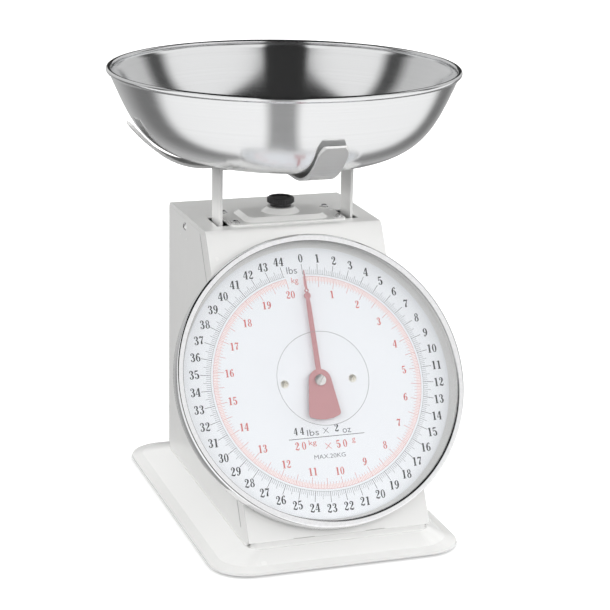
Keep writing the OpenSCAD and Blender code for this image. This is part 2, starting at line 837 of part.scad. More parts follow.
module rack_arm() {
    arm_y = face_y + rack_pin_up * sin(tilt) + 15 * cos(tilt);
    arm_z0 = face_z + rack_pin_up * cos(tilt) - 15 * sin(tilt);
    nose = arm_y - 14.4;
    slant = 6 * tan(tilt);
    color([0.6, 0.62, 0.65])
    difference() {
        across(9, 11)
            polygon([[knob_y - 9, bar_z + 2], [knob_y + 5, bar_z + 2], [knob_y + 5, bar_z + 20],
                     [knob_y + 1, arm_z0 + 6], [nose + slant, arm_z0 + 6],
                     [nose - slant, arm_z0 - 6],
                     [knob_y - 14, arm_z0 - 6], [knob_y - 9, arm_z0 - 14]]);
        across(8, 12) {
            translate([arm_y - 11.5, arm_z0 - 1.26]) square([13.5, 2.52]);
            for (y = [arm_y - 11.5, arm_y + 2]) translate([y, arm_z0]) circle(1.26);
        }
    }
}

module link_pins() {
    color([0.7, 0.7, 0.72])
    for (s = [0, 1])
        mirror([s, 0, 0])
            for (z = [upper_pin_z, lower_pin_z]) {
                rod_x(post_x - strap_t / 2, post_x + strap_t / 2 + 0.5, axis_y, z, 1.98);
                rod_x(post_x + strap_t / 2, link_x + link_t + 1.4, axis_y, z, pin_r - 0.02);
            }
}

module cradle_plate() {
    color([0.93, 0.93, 0.92])
    difference() {
        translate([0, axis_y, plate_z]) linear_extrude(strap_t) rrect(-28, 28, -28, 28, 5);
        for (a = [0 : 90 : 270])
            translate([0, axis_y, plate_z - 1]) rotate([0, 0, a])
                translate([21, 0, 0]) cylinder(r = 2.05, h = 5);
    }
}

// centre line of one arm, tip first, in radius and height
function arm_curve() = let (z = arm_z + strap_t / 2)
    [[117.5, z + 33], [101, z + 13], [86, z], [60, z]];
function arm_side(d) = [for (k = [0 : 14]) bez_side(arm_curve(), k / 14, d)];
function backward(p) = [for (i = [len(p) - 1 : -1 : 0]) p[i]];

module arm(a) {
    h = strap_t / 2;
    flat = arm_z + h;
    translate([0, axis_y, 0]) rotate([0, 0, a])
    intersection() {
        rotate([90, 0, 0]) translate([0, 0, -strap_w / 2]) linear_extrude(strap_w)
            polygon(concat([[12, flat + h], [12, flat - h]], backward(arm_side(h)), arm_side(-h)));
        translate([0, 0, arm_z - 1]) linear_extrude(60)
            rrect(-10, 118.8, -strap_w / 2, strap_w / 2, 8);
    }
}

module cradle_arms() {
    color([0.93, 0.93, 0.92])
    difference() {
        for (a = [0 : 90 : 270]) arm(a);
        for (a = [0 : 90 : 270])
            translate([0, axis_y, arm_z - 1]) rotate([0, 0, a])
                translate([21, 0, 0]) cylinder(r = 2.05, h = 5);
        for (s = [-1, 1])
            for (y = [-6, 6])
                translate([s * (post_x - 11), axis_y + y, arm_z - 1]) cylinder(r = 2.05, h = 5);
    }
}

module rivet() {
    translate([0, 0, -0.2]) cylinder(r = 2, h = strap_t * 2 + 0.1);
    intersection() {
        translate([0, 0, 3.4]) sphere(4.8);
        translate([0, 0, -1.4]) cylinder(r = 3.4, h = 1.4);
    }
}

module cradle_rivets() {
    color([0.75, 0.75, 0.77]) {
        for (a = [0 : 90 : 270])
            translate([0, axis_y, plate_z]) rotate([0, 0, a]) translate([21, 0, 0]) rivet();
        for (s = [-1, 1])
            for (y = [-6, 6])
                translate([s * (post_x - 11), axis_y + y, plate_z]) rivet();
    }
}

// ---- parallel links ----

module link(z) {
    difference() {
        translate([0, link_y, z - half_rise]) rotate([-link_a, 0, 0]) {
            for (s = [0, 1])
                mirror([s, 0, 0])
                    difference() {
                        across(link_x, link_x + link_t) {
                            translate([-link_len, -5]) square([link_len, 10]);
                            circle(6);
                            translate([-link_len, 0]) circle(6.2);
                        }
                        across(link_x - 1, link_x + link_t + 1) {
                            translate([-link_len - 1.2, -2.58]) square([1.9, 5.16]);
                            for (y = [-1.2, 0.7]) translate([-link_len + y, 0]) circle(2.58);
                        }
                    }
            translate([-link_x, -30, -4]) cube([link_x * 2, 2, 8]);
        }
        rod_x(-link_x - 5, link_x + 5, link_y, z - half_rise, pin_r + 0.05);
    }
}

module upper_link() {
    color([0.6, 0.62, 0.65]) link(upper_pin_z);
}

module lower_link() {
    color([0.6, 0.62, 0.65]) link(lower_pin_z);
}

// ---- bowl ----

function bowl_curve() = let (z = bowl_floor, r = bowl_r - 1.7, d = bowl_depth - 1)
    [[r, z + d], [r * 0.8613, z + d * 0.4065], [r * 0.8221, z], [r * 0.26, z]];
function bowl_side(d) = [for (k = [0 : 26]) bez_side(bowl_curve(), k / 26, d)];

module weighing_bowl() {
    rim_z = bowl_floor + bowl_depth;
    color([0.8, 0.81, 0.83])
    translate([0, axis_y, 0])
    rotate_extrude($fn = 96) {
        polygon(concat([[0, bowl_floor + bowl_t], [0, bowl_floor]], backward(bowl_side(0)),
                       bowl_side(-bowl_t)));
        difference() {
            translate([bowl_r - 1.9, rim_z]) circle(1.9, $fn = 24);
            translate([bowl_r - 1.9, rim_z]) circle(0.9, $fn = 24);
        }
    }
}

base_plate();
rubber_feet();
foot_screws();
housing_wrap();
left_side_panel();
right_side_panel();
side_panel_screws();
top_cover_plate();
top_cover_screws();
knob_boss();
dial_drum();
dial_plate();
dial_screws();
bezel_ring();
lens();
lens_gasket();
left_frame_plate();
right_frame_plate();
frame_screws();
top_bridge();
link_rods();
movement_front_plate();
movement_rear_plate();
movement_pillars();
front_bush();
rear_bush();
rack_guide();
zero_knob();
adjusting_screw();
spring_hanger();
hanger_pins();
hanger_guide_pins();
spring_left();
spring_right();
left_post();
right_post();
carriage_bar();
carriage_pins();
carriage_screws();
rack_arm();
link_pins();
cradle_plate();
cradle_arms();
cradle_rivets();
upper_link();
lower_link();
rack_bar();
rack_pin();
pointer();
pinion();
pinion_shaft();
pointer_screw();
weighing_bowl();
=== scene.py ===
import json
import math
import bmesh
import bpy
from mathutils import Matrix, Vector


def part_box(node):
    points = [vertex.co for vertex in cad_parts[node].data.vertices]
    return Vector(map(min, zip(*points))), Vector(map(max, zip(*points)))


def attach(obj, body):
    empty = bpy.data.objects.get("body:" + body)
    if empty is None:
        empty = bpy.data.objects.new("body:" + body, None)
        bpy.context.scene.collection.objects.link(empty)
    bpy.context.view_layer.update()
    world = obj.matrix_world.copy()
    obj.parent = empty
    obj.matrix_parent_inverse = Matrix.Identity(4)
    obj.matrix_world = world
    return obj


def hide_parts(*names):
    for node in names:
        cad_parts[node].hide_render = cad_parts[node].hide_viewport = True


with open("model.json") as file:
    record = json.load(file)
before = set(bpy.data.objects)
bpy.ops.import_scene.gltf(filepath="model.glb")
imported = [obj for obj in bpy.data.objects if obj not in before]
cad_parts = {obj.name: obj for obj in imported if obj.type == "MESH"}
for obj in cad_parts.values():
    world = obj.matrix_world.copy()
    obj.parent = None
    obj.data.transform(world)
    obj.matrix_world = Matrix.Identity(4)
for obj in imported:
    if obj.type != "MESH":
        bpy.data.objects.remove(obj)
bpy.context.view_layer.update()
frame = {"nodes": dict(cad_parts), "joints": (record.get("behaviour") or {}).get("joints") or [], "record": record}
NODES = frame["nodes"]
MM = 0.001
VIEW_YAW = math.radians(18.8)
VIEW_PITCH = math.radians(16.14)
VIEW_ROLL = math.radians(0.96)
VIEW_PLACE = (-0.4521, -1.3711, 0.5721)
VIEW_LENS_MM = 117.5
SENSOR_MM = 36.0
WORLD_STRENGTH = 2.5
MIX_COLOUR_IN = (6, 7)
MIX_COLOUR_OUT = 2


# ---------------------------------------------------------------- places read from the frame

def joint(name):
    return next(j for j in frame["joints"] if j["name"] == name)


def face_matrix():
    """Dial frame: X right, Y up the face, Z out of the dial; origin on the casing front."""
    turn = joint("pointer_turn")
    out = -Vector(turn["axis"]).normalized()
    right = Vector((1.0, 0.0, 0.0))
    up = out.cross(right).normalized()
    m = Matrix((right, up, out)).transposed().to_4x4()
    m.translation = Vector(turn["pos_m"])
    return m


FACE = face_matrix()
BOWL_LOW, BOWL_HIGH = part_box("weighing_bowl")
BOWL_X = (BOWL_LOW.x + BOWL_HIGH.x) / 2
BOWL_Y = (BOWL_LOW.y + BOWL_HIGH.y) / 2


def on_face(x, y, z):
    """Millimetres on the dial to metres in the frame."""
    return FACE @ Vector((x * MM, y * MM, z * MM))


# ---------------------------------------------------------------- materials

def new_material(name):
    mat = bpy.data.materials.new(name)
    mat.use_nodes = True
    tree = mat.node_tree
    return mat, tree, tree.nodes["Principled BSDF"]


def coords(tree, kind="Object"):
    return tree.nodes.new("ShaderNodeTexCoord").outputs[kind]


def noise(tree, vector, scale, detail=2.0, rough=0.5):
    node = tree.nodes.new("ShaderNodeTexNoise")
    node.inputs["Scale"].default_value = scale
    node.inputs["Detail"].default_value = detail
    node.inputs["Roughness"].default_value = rough
    tree.links.new(vector, node.inputs["Vector"])
    return node.outputs["Fac"]


def ramp(tree, value, stops):
    node = tree.nodes.new("ShaderNodeValToRGB")
    band = node.color_ramp
    while len(band.elements) < len(stops):
        band.elements.new(0.5)
    for element, (place, colour) in zip(band.elements, stops):
        element.position = place
        element.color = (*colour, 1.0)
    tree.links.new(value, node.inputs["Fac"])
    return node.outputs["Color"]


def spread(tree, value, low, high):
    node = tree.nodes.new("ShaderNodeMapRange")
    node.inputs["To Min"].default_value = low
    node.inputs["To Max"].default_value = high
    tree.links.new(value, node.inputs["Value"])
    return node.outputs["Result"]


def bump(tree, bsdf, height, strength, distance):
    node = tree.nodes.new("ShaderNodeBump")
    node.inputs["Strength"].default_value = strength
    node.inputs["Distance"].default_value = distance
    tree.links.new(height, node.inputs["Height"])
    tree.links.new(node.outputs["Normal"], bsdf.inputs["Normal"])


def math_node(tree, kind, a, b=None):
    node = tree.nodes.new("ShaderNodeMath")
    node.operation = kind
    for socket, value in zip(node.inputs, (a, b)):
        if value is None:
            continue
        if isinstance(value, (int, float)):
            socket.default_value = value
        else:
            tree.links.new(value, socket)
    return node.outputs[0]


def painted(name, light, dark, rough=(0.2, 0.3), peel=0.05, coat=0.4):
    """Stove enamel: faint colour drift, orange peel and uneven gloss."""
    mat, tree, bsdf = new_material(name)
    place = coords(tree)
    drift = noise(tree, place, 9.0, 3.0)
    tree.links.new(ramp(tree, drift, [(0.35, dark), (0.65, light)]), bsdf.inputs["Base Color"])
    tree.links.new(spread(tree, noise(tree, place, 60.0, 3.0), *rough), bsdf.inputs["Roughness"])
    bsdf.inputs["Coat Weight"].default_value = coat
    bsdf.inputs["Coat Roughness"].default_value = 0.12
    bsdf.inputs["Specular IOR Level"].default_value = 0.45
    bump(tree, bsdf, noise(tree, place, 900.0, 1.0), peel, 0.0002)
    return mat


def metal(name, light, dark, rough, grain=600.0, strength=0.04):
    """Polished or brushed metal with a fine grain in its colour, gloss and surface."""
    mat, tree, bsdf = new_material(name)
    bsdf.inputs["Metallic"].default_value = 1.0
    place = coords(tree)
    fine = noise(tree, place, grain, 3.0)
    tree.links.new(ramp(tree, fine, [(0.3, dark), (0.7, light)]), bsdf.inputs["Base Color"])
    tree.links.new(spread(tree, noise(tree, place, grain * 0.3, 2.0), *rough),
                   bsdf.inputs["Roughness"])
    bump(tree, bsdf, fine, strength, 0.0001)
    return mat


def ringed_steel(name, light, dark, rough, centre, ring=2600.0):
    """Stainless spun on a lathe: fine rings round the bowl's axis."""
    mat, tree, bsdf = new_material(name)
    bsdf.inputs["Metallic"].default_value = 1.0
    bsdf.inputs["Anisotropic"].default_value = 0.9
    tangent = tree.nodes.new("ShaderNodeTangent")
    tangent.direction_type = "RADIAL"
    tangent.axis = "Z"
    tree.links.new(tangent.outputs["Tangent"], bsdf.inputs["Tangent"])
    bsdf.inputs["Anisotropic Rotation"].default_value = 0.25
    apart = tree.nodes.new("ShaderNodeSeparateXYZ")
    tree.links.new(coords(tree), apart.inputs["Vector"])
    x = math_node(tree, "SUBTRACT", apart.outputs["X"], centre[0])
    y = math_node(tree, "SUBTRACT", apart.outputs["Y"], centre[1])
    squares = math_node(tree, "ADD", math_node(tree, "MULTIPLY", x, x),
                        math_node(tree, "MULTIPLY", y, y))
    radius = math_node(tree, "SQRT", squares)
    join = tree.nodes.new("ShaderNodeCombineXYZ")
    tree.links.new(radius, join.inputs["X"])
    tree.links.new(apart.outputs["Z"], join.inputs["Z"])
    rings = noise(tree, join.outputs["Vector"], ring, 2.0, 0.6)
    broad = noise(tree, join.outputs["Vector"], ring * 0.12, 2.0, 0.5)
    tree.links.new(ramp(tree, rings, [(0.3, dark), (0.7, light)]), bsdf.inputs["Base Color"])
    tree.links.new(spread(tree, broad, *rough), bsdf.inputs["Roughness"])
    bump(tree, bsdf, rings, 0.10, 0.00006)
    return mat


def plastic(name, light, dark, rough, grain, strength):
    """Moulded plastic or rubber with a fine surface grain."""
    mat, tree, bsdf = new_material(name)
    place = coords(tree)
    tree.links.new(ramp(tree, noise(tree, place, 40.0), [(0.3, dark), (0.7, light)]),
                   bsdf.inputs["Base Color"])
    tree.links.new(spread(tree, noise(tree, place, 200.0), *rough), bsdf.inputs["Roughness"])
    bump(tree, bsdf, noise(tree, place, grain, 2.0), strength, 0.0002)
    return mat


def printed(name, light, dark):
    """Screen-printed ink, slightly mottled."""
    mat, tree, bsdf = new_material(name)
    place = coords(tree)
    tree.links.new(ramp(tree, noise(tree, place, 700.0), [(0.3, dark), (0.7, light)]),
                   bsdf.inputs["Base Color"])
    tree.links.new(spread(tree, noise(tree, place, 300.0), 0.4, 0.55), bsdf.inputs["Roughness"])
    return mat


def clear(name, alpha, dark=(0.86, 0.89, 0.92), light=(0.9, 0.92, 0.95)):
    """Clear moulded plastic; alpha is how much of it shows."""
    mat, tree, bsdf = new_material(name)
    place = coords(tree)
    bsdf.inputs["Alpha"].default_value = alpha
    bsdf.inputs["IOR"].default_value = 1.49
    tree.links.new(ramp(tree, noise(tree, place, 14.0), [(0.3, dark), (0.7, light)]),
                   bsdf.inputs["Base Color"])
    tree.links.new(spread(tree, noise(tree, place, 30.0), 0.03, 0.07), bsdf.inputs["Roughness"])
    mat.surface_render_method = "BLENDED"
    return mat


def make_materials():
    steel_centre = (BOWL_X, BOWL_Y)
    return {
        "white_enamel": painted("enamel", (0.80, 0.80, 0.79), (0.78, 0.78, 0.77)),
        # Mid grey for the lap edge bead on white enamel: painted shade of the lap's edge line.
        "lap_painted_shade": painted("lap_painted_shade", (0.36, 0.36, 0.36), (0.32, 0.32, 0.32), (0.3, 0.4)),
        "dial_white": painted("dial_ground", (0.83, 0.85, 0.88), (0.82, 0.84, 0.87),
                              (0.35, 0.45), 0.02, 0.1),
        "inner_steel": metal("inner_steel", (0.55, 0.56, 0.58), (0.42, 0.43, 0.45), (0.3, 0.45)),
        "screw_steel": metal("screw_steel", (0.82, 0.82, 0.82), (0.68, 0.68, 0.68), (0.14, 0.24)),
        "brass": metal("brass", (0.88, 0.82, 0.68), (0.76, 0.69, 0.54), (0.18, 0.3)),
        "bowl_steel": ringed_steel("bowl_steel", (0.86, 0.865, 0.87), (0.80, 0.805, 0.81),
                                   (0.12, 0.18), steel_centre),
        "bezel_chrome": metal("bezel_chrome", (0.93, 0.93, 0.94), (0.88, 0.88, 0.89),
                              (0.05, 0.1), 400.0, 0.01),
        "clear_lens": clear("clear_lens", 0.05),
        # Grey, part opaque clear plastic: painted shade line for the lens step.
        "lens_step_painted_line": clear("lens_step_painted_line", 0.6, (0.40, 0.41, 0.42), (0.46, 0.47, 0.48)),
        "head_brass": metal("head_brass", (0.90, 0.87, 0.78), (0.80, 0.76, 0.66), (0.3, 0.42)),
        "head_steel": metal("head_steel", (0.90, 0.89, 0.87), (0.76, 0.75, 0.73), (0.22, 0.36)),
        "gasket": plastic("gasket", (0.55, 0.55, 0.55), (0.48, 0.48, 0.48), (0.6, 0.7), 900.0, 0.1),
        "seal_dark": plastic("seal_dark", (0.16, 0.16, 0.16), (0.12, 0.12, 0.12),
                             (0.5, 0.6), 900.0, 0.1),
        "foot_rubber": plastic("foot_rubber", (0.035, 0.035, 0.035), (0.02, 0.02, 0.02),
                               (0.6, 0.75), 1500.0, 0.2),
        "knob_black": plastic("knob_black", (0.022, 0.022, 0.023), (0.012, 0.012, 0.013),
                              (0.38, 0.5), 2500.0, 0.12),
        "pointer_red": painted("pointer_red", (0.53, 0.245, 0.255), (0.50, 0.225, 0.235),
                               (0.4, 0.5), 0.03, 0.0),
        "spring_steel": metal("spring_steel", (0.5, 0.5, 0.52), (0.36, 0.36, 0.38), (0.25, 0.4)),
        "ink_black": printed("ink_black", (0.035, 0.037, 0.04), (0.025, 0.027, 0.03)),
        "ink_grey": printed("ink_grey", (0.17, 0.18, 0.19), (0.14, 0.15, 0.16)),
        "ink_red": printed("ink_red", (0.66, 0.17, 0.15), (0.61, 0.145, 0.13)),
        "ink_pink": printed("ink_pink", (0.90, 0.82, 0.82), (0.88, 0.80, 0.80)),
    }


MATERIALS = make_materials()


def dress(obj, slot):
    obj.data.materials.clear()
    obj.data.materials.append(MATERIALS[slot])


def dress_nodes():
    slots = {s["node"]: s["material_slot"] for s in frame["record"]["subparts"]}
    for name, obj in NODES.items():
        obj.data.materials.clear()
        obj.data.materials.append(MATERIALS[slots[name]])


# ---------------------------------------------------------------- piece helpers

def finish_piece(obj, body, slot):
    dress(obj, slot)
    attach(obj, body)
    return obj


def mesh_object(name, verts, faces, smooth=False):
    mesh = bpy.data.meshes.new(name)
    mesh.from_pydata([tuple(v) for v in verts], [], faces)
    mesh.validate()
    mesh.update()
    if smooth:
        mesh.polygons.foreach_set("use_smooth", [True] * len(mesh.polygons))
    obj = bpy.data.objects.new(name, mesh)
    bpy.context.scene.collection.objects.link(obj)
    return obj


def lathe(name, profile, place, steps=192, closed=True):
    """Turns a profile of (radius, height) in mm round the Z of place; a zero radius is a pole."""
    verts, rows, faces = [], [], []
    for r, z in profile:
        if r < 1e-6:
            rows.append([len(verts)])
            verts.append(place @ Vector((0, 0, z * MM)))
            continue
        rows.append(list(range(len(verts), len(verts) + steps)))
        for i in range(steps):
            a = 2 * math.pi * i / steps
            verts.append(place @ Vector((r * MM * math.cos(a), r * MM * math.sin(a), z * MM)))
    pairs = list(zip(rows, rows[1:] + ([rows[0]] if closed else [])))
    for low, high in pairs:
        if len(low) == 1 and len(high) == 1:
            continue
        for i in range(steps):
            j = (i + 1) % steps
            if len(low) == 1:
                faces.append((low[0], high[j], high[i]))
            elif len(high) == 1:
                faces.append((low[i], low[j], high[0]))
            else:
                faces.append((low[i], low[j], high[j], high[i]))
    obj = mesh_object(name, verts, faces, True)
    fix_normals(obj)
    return obj


def fix_normals(obj):
    bm = bmesh.new()
    bm.from_mesh(obj.data)
    bmesh.ops.recalc_face_normals(bm, faces=bm.faces)
    bm.to_mesh(obj.data)
    bm.free()


# ---------------------------------------------------------------- printing on the dial

PRINT_Z = 2.03
LB = 350.0 / 44.0925
KG = 17.5


class Print:
    """Flat ink shapes on the dial, in dial millimetres."""

    def __init__(self):
        self.verts, self.faces = [], []

    def polygon(self, points, z=PRINT_Z):
        start = len(self.verts)
        self.verts += [on_face(x, y, z) for x, y in points]
        self.faces.append(tuple(range(start, start + len(points))))

    def tick(self, angle, r0, r1, width):
        a = math.radians(angle)
        out, side = (math.sin(a), math.cos(a)), (math.cos(a), -math.sin(a))
        w = width / 2
        self.polygon([(out[0] * r0 - side[0] * w, out[1] * r0 - side[1] * w),
                      (out[0] * r0 + side[0] * w, out[1] * r0 + side[1] * w),
                      (out[0] * r1 + side[0] * w, out[1] * r1 + side[1] * w),
                      (out[0] * r1 - side[0] * w, out[1] * r1 - side[1] * w)])

    def band(self, a0, a1, r0, r1, steps, z=PRINT_Z):
        for i in range(steps):
            p, q = (math.radians(a0 + (a1 - a0) * k / steps) for k in (i, i + 1))
            self.polygon([(math.sin(p) * r0, math.cos(p) * r0), (math.sin(p) * r1, math.cos(p) * r1),
                          (math.sin(q) * r1, math.cos(q) * r1), (math.sin(q) * r0, math.cos(q) * r0)],
                         z)

    def ring(self, cx, cy, outer, inner, steps=28):
        loops = []
        for rx, ry in (outer, inner):
            loops.append([(cx + rx * math.cos(2 * math.pi * i / steps),
                           cy + ry * math.sin(2 * math.pi * i / steps)) for i in range(steps)])
        for i in range(steps):
            j = (i + 1) % steps
            self.polygon([loops[0][i], loops[0][j], loops[1][j], loops[1][i]])

    def ball(self, cx, cy, r, steps=14):
        self.polygon([(cx + r * math.cos(2 * math.pi * i / steps),
                       cy + r * math.sin(2 * math.pi * i / steps)) for i in range(steps)])

    def stroke(self, points, fine=5):
        path = smooth_path(points, fine)
        sides = []
        for i, (x, y, w) in enumerate(path):
            x0, y0, _ = path[max(i - 1, 0)]
            x1, y1, _ = path[min(i + 1, len(path) - 1)]
            length = math.hypot(x1 - x0, y1 - y0) or 1.0
            nx, ny = -(y1 - y0) / length, (x1 - x0) / length
            sides.append(((x + nx * w / 2, y + ny * w / 2), (x - nx * w / 2, y - ny * w / 2)))
        for (a, b), (c, d) in zip(sides, sides[1:]):
            self.polygon([a, b, d, c])

    def build(self, name, slot):
        obj = mesh_object(name, self.verts, self.faces)
        fix_normals(obj)
        return finish_piece(obj, "housing", slot)


def smooth_path(points, fine):
    if len(points) < 3:
        return list(points)
    out = []
    for i in range(len(points) - 1):
        p = [points[max(i - 1, 0)], points[i], points[i + 1], points[min(i + 2, len(points) - 1)]]
        for k in range(fine):
            t = k / fine
            out.append(tuple(
                0.5 * (2 * p[1][c] + (p[2][c] - p[0][c]) * t
                       + (2 * p[0][c] - 5 * p[1][c] + 4 * p[2][c] - p[3][c]) * t * t
                       + (3 * p[1][c] - p[0][c] - 3 * p[2][c] + p[3][c]) * t ** 3)
                for c in range(3)))
    out.append(points[-1])
    return out


SIX = [("ring", (0.28, 0.30, 0.25, 0.30, 0.10, 0.262)),
       ("stroke", [(0.105, 0.30, 0.12), (0.11, 0.5, 0.15), (0.16, 0.74, 0.12), (0.27, 0.92, 0.06),
                   (0.38, 0.975, 0.04), (0.455, 0.9, 0.035)]),
       ("ball", (0.42, 0.84, 0.07))]


def turned_glyph(parts):
    out = []
    for kind, data in parts:
        if kind == "ring":
            out.append((kind, (0.56 - data[0], 1 - data[1]) + tuple(data[2:])))
        elif kind == "ball":
            out.append((kind, (0.56 - data[0], 1 - data[1], data[2])))
        else:
            out.append((kind, [(0.56 - x, 1 - y, w) for x, y, w in data]))
    return out


GLYPHS = {
    "0": [("ring", (0.28, 0.5, 0.26, 0.5, 0.115, 0.46))],
    "1": [("stroke", [(0.3, 0.99, 0.15), (0.3, 0.03, 0.15)]),
          ("stroke", [(0.12, 0.018, 0.036), (0.48, 0.018, 0.036)]),
          ("stroke", [(0.24, 0.97, 0.05), (0.17, 0.9, 0.05), (0.08, 0.88, 0.036)])],
    "2": [("ball", (0.145, 0.745, 0.078)),
          ("stroke", [(0.075, 0.77, 0.035), (0.13, 0.92, 0.045), (0.28, 0.972, 0.055),
                      (0.41, 0.88, 0.12), (0.43, 0.72, 0.145), (0.35, 0.53, 0.11),
                      (0.2, 0.33, 0.05), (0.09, 0.18, 0.035), (0.06, 0.08, 0.03)]),
          ("stroke", [(0.06, 0.07, 0.06), (0.16, 0.115, 0.11), (0.3, 0.07, 0.13),
                      (0.42, 0.065, 0.1), (0.49, 0.13, 0.05), (0.51, 0.26, 0.03)])],
    "3": [("ball", (0.13, 0.8, 0.072)),
          ("stroke", [(0.07, 0.83, 0.035), (0.14, 0.945, 0.04), (0.26, 0.975, 0.05),
                      (0.39, 0.9, 0.11), (0.42, 0.77, 0.14), (0.37, 0.62, 0.09),
                      (0.22, 0.54, 0.03)]),
          ("stroke", [(0.22, 0.535, 0.03), (0.39, 0.47, 0.09), (0.455, 0.28, 0.15),
                      (0.4, 0.1, 0.11), (0.26, 0.025, 0.05), (0.13, 0.06, 0.04),
                      (0.065, 0.18, 0.035)]),
          ("ball", (0.13, 0.2, 0.075))],
    "4": [("stroke", [(0.38, 0.99, 0.14), (0.38, 0.03, 0.14)]),
          ("stroke", [(0.33, 0.97, 0.04), (0.03, 0.31, 0.04)]),
          ("stroke", [(0.0, 0.29, 0.042), (0.53, 0.29, 0.042)]),
          ("stroke", [(0.22, 0.018, 0.036), (0.54, 0.018, 0.036)])],
    "5": [("stroke", [(0.09, 0.93, 0.13), (0.25, 0.92, 0.12), (0.38, 0.94, 0.09),
                      (0.46, 0.98, 0.03)]),
          ("stroke", [(0.09, 0.95, 0.04), (0.08, 0.51, 0.04)]),
          ("stroke", [(0.08, 0.51, 0.03), (0.19, 0.6, 0.04), (0.33, 0.57, 0.09),
                      (0.445, 0.37, 0.15), (0.41, 0.13, 0.12), (0.27, 0.025, 0.05),
                      (0.13, 0.06, 0.04), (0.065, 0.18, 0.035)]),
          ("ball", (0.13, 0.2, 0.075))],
    "6": SIX,
    "7": [("stroke", [(0.05, 0.74, 0.03), (0.055, 0.88, 0.05), (0.14, 0.92, 0.13),
                      (0.3, 0.885, 0.13), (0.42, 0.9, 0.09), (0.5, 0.985, 0.03)]),
          ("stroke", [(0.49, 0.96, 0.03), (0.4, 0.72, 0.05), (0.29, 0.46, 0.1),
                      (0.25, 0.22, 0.15), (0.255, 0.06, 0.16)])],
    "8": [("ring", (0.28, 0.755, 0.21, 0.245, 0.09, 0.21)),
          ("ring", (0.28, 0.275, 0.255, 0.275, 0.11, 0.238))],
    "9": turned_glyph(SIX),
}


def draw_number(ink, text, cx, cy, height, pitch=0.64):
    """Writes digits centred on (cx, cy), upright on the dial."""
    width = (pitch * (len(text) - 1) + 0.56) * height
    for k, digit in enumerate(text):
        x0 = cx - width / 2 + k * pitch * height
        y0 = cy - height / 2
        for kind, data in GLYPHS[digit]:
            if kind == "ring":
                gx, gy, rx, ry, ix, iy = data
                ink.ring(x0 + gx * height, y0 + gy * height,
                         ((rx + 0.01) * height, (ry + 0.01) * height),
                         ((ix - 0.015) * height, (iy - 0.015) * height))
            elif kind == "ball":
                ink.ball(x0 + data[0] * height, y0 + data[1] * height, data[2] * height)
            else:
                ink.stroke([(x0 + x * height, y0 + y * height, (w * 1.2 + 0.03) * height)
                            for x, y, w in data])


def ink_cross(ink, cx, cy, half, width):
    for s in (-1, 1):
        ink.stroke([(cx - half, cy - s * half, width), (cx + half, cy + s * half, width)])


def ink_text(name, text, x, y, width, height, slot):
    """A short unit word, scaled to the width and height it has on the dial."""
    curve = bpy.data.curves.new(name, "FONT")
    curve.body = text
    curve.resolution_u = 4
    obj = bpy.data.objects.new(name + "_curve", curve)
    bpy.context.scene.collection.objects.link(obj)
    bpy.context.view_layer.update()
    flat = bpy.data.meshes.new_from_object(obj.evaluated_get(bpy.context.evaluated_depsgraph_get()))
    bpy.data.objects.remove(obj)
    xs = [v.co.x for v in flat.vertices]
    ys = [v.co.y for v in flat.vertices]
    kx, ky = width / (max(xs) - min(xs)), height / (max(ys) - min(ys))
    for v in flat.vertices:
        v.co = on_face(x + (v.co.x - min(xs)) * kx, y + (v.co.y - min(ys)) * ky, PRINT_Z)
    flat.name = name
    piece = bpy.data.objects.new(name, flat)
    bpy.context.scene.collection.objects.link(piece)
    return finish_piece(piece, "housing", slot)


def polar(angle, r):
    return math.sin(math.radians(angle)) * r, math.cos(math.radians(angle)) * r


def print_pounds():
    ink = Print()
    fine = Print()
    for k in range(44 * 8 + 1):
        if k % 8 == 0:
            ink.tick(k / 8 * LB, 80.6, 88.4, 0.34)
        elif k % 4 == 0:
            fine.tick(k / 8 * LB, 80.6, 86.2, 0.26)
        else:
            fine.tick(k / 8 * LB, 80.6, 84.0, 0.24)
    fine.band(-0.2, 350.2, 80.45, 80.65, 180)
    for k in range(45):
        draw_number(ink, str(k), *polar(k * LB, 92.7), 6.2)
    draw_number(ink, "44", -20.6, -35.1, 5.3, 0.9)
    draw_number(ink, "2", 8.1, -35.1, 5.5)
    ink.stroke([(-28.9, -40.8, 0.42), (28.6, -40.8, 0.42)])
    ink.build("dial_pounds", "ink_black")
    ink_cross(fine, -0.2, -36.4, 2.0, 0.42)
    fine.build("dial_pound_ticks", "ink_grey")


def print_kilos():
    band = Print()
    band.band(0, 350, 75.3, 78.6, 180, PRINT_Z - 0.01)
    band.build("dial_kilo_band", "ink_pink")
    ink = Print()
    fine = Print()
    for k in range(401):
        angle = k * KG / 20
        if k % 10 == 0:
            ink.tick(angle, 70.9, 78.7, 0.3)
        elif k % 2 == 0:
            fine.tick(angle, 73.6, 78.7, 0.2)
        else:
            fine.tick(angle, 75.3, 78.7, 0.16)
    fine.band(-0.2, 350.2, 78.6, 78.8, 180)
    for k in range(1, 21):
        draw_number(ink, str(k), *polar(k * KG, 66.8), 5.6)
    draw_number(ink, "20", -20.8, -45.9, 5.7, 0.9)
    draw_number(ink, "50", 10.3, -47.0, 5.6, 0.9)
    ink.build("dial_kilos", "ink_red")
    ink_cross(fine, 0.0, -47.7, 2.1, 0.42)
    fine.build("dial_kilo_ticks", "ink_red")


def print_words():
    ink_text("word_lbs_top", "lbs", -12.0, 81.4, 8.0, 5.2, "ink_grey")
    ink_text("word_kg_top", "kg", -9.4, 72.9, 5.2, 5.6, "ink_red")
    ink_text("word_lbs", "lbs", -14.6, -39.3, 9.0, 4.6, "ink_grey")
    ink_text("word_oz", "oz", 12.4, -39.4, 6.4, 3.2, "ink_grey")
    ink_text("word_kg", "kg", -14.4, -47.2, 5.8, 4.8, "ink_red")
    ink_text("word_g", "g", 18.4, -47.6, 2.6, 3.8, "ink_red")
    ink_text("word_max", "MAX.20KG", -11.8, -56.6, 23.8, 3.1, "ink_grey")


# ---------------------------------------------------------------- bowl, bezel and lens

